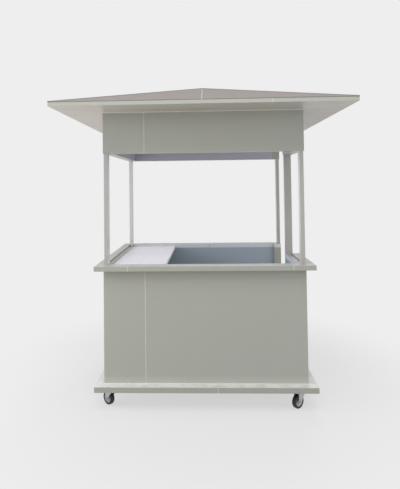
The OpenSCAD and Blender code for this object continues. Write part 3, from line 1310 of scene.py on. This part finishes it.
@dataclass(frozen=True)
class StudioFloor:
    """Pale floor that shows as the backdrop, keeps the shadow and bounces some light."""

    backdrop: Colour
    colour: Colour = shade(191, 191, 191)
    radius: float = 9.0
    sides: int = 96
    shadow: float = 0.3
    shadow_from: float = 1.0
    shadow_to: float = 2.3

    def material(self) -> bpy.types.Material:
        """Make the floor's material.

        Returns:
            A plain matt surface for light, mostly covered by the backdrop's colour where it shows.
        """
        recipe = Recipe("studio_floor")
        recipe.set("Base Color", self.colour)
        recipe.set("Roughness", 1.0)
        recipe.set("Specular IOR Level", 0.0)
        length = recipe.node("ShaderNodeVectorMath", operation="LENGTH")
        recipe.put(recipe.place, length.inputs[0])
        cover = recipe.span(length.outputs["Value"], self.shadow_from, self.shadow_to, 1 - self.shadow)
        plain = recipe.node("ShaderNodeEmission")
        plain.inputs["Color"].default_value = self.backdrop
        mixed = recipe.node("ShaderNodeMixShader")
        recipe.put(recipe.times(shown(recipe.tree), cover), mixed.inputs[0])
        recipe.put(recipe.shader.outputs[0], mixed.inputs[1])
        recipe.put(plain.outputs[0], mixed.inputs[2])
        recipe.put(mixed.outputs[0], recipe.tree.nodes["Material Output"].inputs["Surface"])
        return recipe.material

    def build(self) -> None:
        """Make the floor."""
        mesh = bpy.data.meshes.new("studio_floor")
        shape = bmesh.new()
        bmesh.ops.create_circle(shape, cap_ends=True, segments=self.sides, radius=self.radius)
        shape.to_mesh(mesh)
        shape.free()
        floor = bpy.data.objects.new("studio_floor", mesh)
        bpy.context.scene.collection.objects.link(floor)
        floor.data.materials.append(self.material())


@dataclass(frozen=True)
class SoftLamp:
    """Square lamp that faces the booth."""

    name: str
    place: Triple
    size: float
    power: float
    mirrored: bool = True
    aim: Triple = (0.0, 0.0, 1.1)

    def build(self) -> None:
        """Hang the lamp, and let gloss mirror it or not."""
        light = bpy.data.lights.new(self.name, "AREA")
        light.size = self.size
        light.energy = self.power
        lamp = bpy.data.objects.new(self.name, light)
        lamp.location = self.place
        lamp.rotation_euler = (Vector(self.aim) - lamp.location).to_track_quat("-Z", "Y").to_euler()
        lamp.visible_glossy = self.mirrored
        bpy.context.scene.collection.objects.link(lamp)


@dataclass(frozen=True)
class Studio:
    """Plain pale surroundings, a floor and soft lamps."""

    backdrop: Colour = shade(238, 238, 238)
    sky: Colour = shade(238, 240, 243)
    sky_strength: float = 0.66
    lamps: tuple[SoftLamp, ...] = (
        SoftLamp("key_lamp", (-4.2, -1.6, 1.9), 2.4, 100.0, mirrored=False),
        SoftLamp("low_lamp", (-3.8, 0.2, 0.5), 2.0, 60.0, mirrored=False),
        SoftLamp("top_lamp", (-0.3, -2.8, 6.2), 4.2, 195.0),
        SoftLamp("front_lamp", (0.0, -5.6, 3.2), 3.0, 20.0),
        SoftLamp("side_lamp", (4.5, -1.2, 1.5), 3.0, 55.0, mirrored=False),
        SoftLamp("back_lamp", (1.5, 4.6, 4.8), 2.0, 110.0, mirrored=False),
    )

    def build(self) -> None:
        """Make the world, the floor and the lamps."""
        world = bpy.data.worlds.new("studio")
        bpy.context.scene.world = world
        world.use_nodes = True
        tree = world.node_tree
        seen = tree.nodes["Background"]
        seen.inputs["Color"].default_value = self.backdrop
        lit = tree.nodes.new("ShaderNodeBackground")
        lit.inputs["Color"].default_value = self.sky
        lit.inputs["Strength"].default_value = self.sky_strength
        mixed = tree.nodes.new("ShaderNodeMixShader")
        tree.links.new(shown(tree), mixed.inputs[0])
        tree.links.new(lit.outputs[0], mixed.inputs[1])
        tree.links.new(seen.outputs[0], mixed.inputs[2])
        tree.links.new(mixed.outputs[0], tree.nodes["World Output"].inputs["Surface"])
        StudioFloor(self.backdrop).build()
        for lamp in self.lamps:
            lamp.build()


@dataclass(frozen=True)
class Viewpoint:
    """Where the picture is taken from, and the lens."""

    place: Triple = (0.0206, -3.9633, 1.6416)
    heading: float = math.radians(2.02)
    tilt: float = math.radians(1.68)
    roll: float = math.radians(-0.72)
    lens: float = 33.27
    shift: Pair = (0.0210, -0.1502)

    def build(self) -> None:
        """Make the camera."""
        data = bpy.data.cameras.new("viewpoint")
        data.lens = self.lens
        data.shift_x, data.shift_y = self.shift
        camera = bpy.data.objects.new("viewpoint", data)
        camera.matrix_world = (
            Matrix.Translation(self.place)
            @ Matrix.Rotation(self.heading, 4, "Z")
            @ Matrix.Rotation(math.pi / 2 + self.tilt, 4, "X")
            @ Matrix.Rotation(self.roll, 4, "Z")
        )
        bpy.context.scene.collection.objects.link(camera)
        bpy.context.scene.camera = camera


def main() -> None:
    """Build and dress every sub-assembly in order, then set the studio and the camera."""
    logging.basicConfig(level=logging.INFO, format="%(message)s")
    parts = [Base(), CasterMounts()]
    for corner in CORNERS:
        parts += [CasterFork(corner=corner), CasterWheel(corner=corner)]
    parts += [Plinth(), Deck(), Posts(), Walls(), Linings()]
    parts += [Ledge(), Worktop(), Header(), Eaves(), Roof()]
    for part in parts:
        part.build()
        part.dress()
    Studio().build()
    Viewpoint().build()
    bpy.context.scene.view_settings.view_transform = "Standard"


if __name__ == "__main__":
    main()
